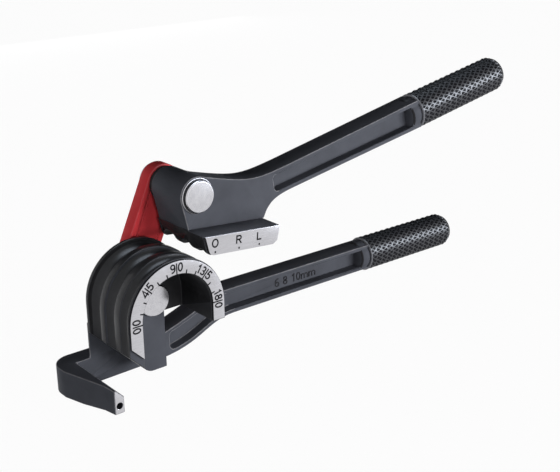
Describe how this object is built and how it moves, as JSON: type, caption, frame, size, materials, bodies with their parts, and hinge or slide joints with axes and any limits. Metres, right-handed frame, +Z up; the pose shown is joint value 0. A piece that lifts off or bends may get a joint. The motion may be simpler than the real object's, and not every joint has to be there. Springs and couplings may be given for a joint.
{
  "type": "lever tube bender",
  "caption": "Hand lever tube bender: grooved forming die with an angle dial, grooved shoe swinging on a red link, tube hook, and long I-beam handles with knurled grips.",
  "frame": {"origin": "in the flat foot of the back plate, in the middle of its thickness and straight below the forming die's pivot axis", "axes": "+X along the lower handle towards its grip, +Y back along the pivot pins, +Z up"},
  "size_m": [0.2563, 0.0502, 0.117],
  "materials": {
    "black_casting": "satin black paint on cast metal",
    "bare_metal": "bare machined face",
    "pin_steel": "bright zinc plated",
    "washer_steel": "zinc plated",
    "dark_steel": "black oxide",
    "red_paint": "red powder coat",
    "bush_brass": "plain bearing bronze",
    "grip_plastic": "moulded diamond knurl"
  },
  "bodies": {
    "base": {"lower_handle": "black_casting", "forming_die": "black_casting", "dial_face": "bare_metal", "die_screws": "dark_steel", "die_dowels": "pin_steel", "die_pin": "pin_steel", "die_spacer": "washer_steel", "die_back_washer": "washer_steel", "die_clip": "dark_steel", "lower_grip": "grip_plastic", "lower_grip_pin": "dark_steel"},
    "link": {"link": "red_paint", "link_die_bush": "bush_brass", "link_shoe_bush": "bush_brass"},
    "shoe_handle": {"upper_handle": "black_casting", "bending_shoe": "black_casting", "shoe_face": "bare_metal", "shoe_screws": "dark_steel", "shoe_pin": "pin_steel", "shoe_pin_washer": "pin_steel", "shoe_spacer": "washer_steel", "shoe_back_washer": "washer_steel", "shoe_clip": "dark_steel", "upper_grip": "grip_plastic", "upper_grip_pin": "dark_steel"}
  },
  "joints": [
    {"name": "link_swing", "type": "hinge", "parent": "base", "child": "link", "pos_m": [0, 0.0001, 0.0387], "axis": [0, 1, 0], "range_deg": [-114.4, 65.6]},
    {"name": "handle_swing", "type": "hinge", "parent": "link", "child": "shoe_handle", "pos_m": [0.02016, 0.0001, 0.08314], "axis": [0, 1, 0], "range_deg": [-70, 19.5]}
  ]
}
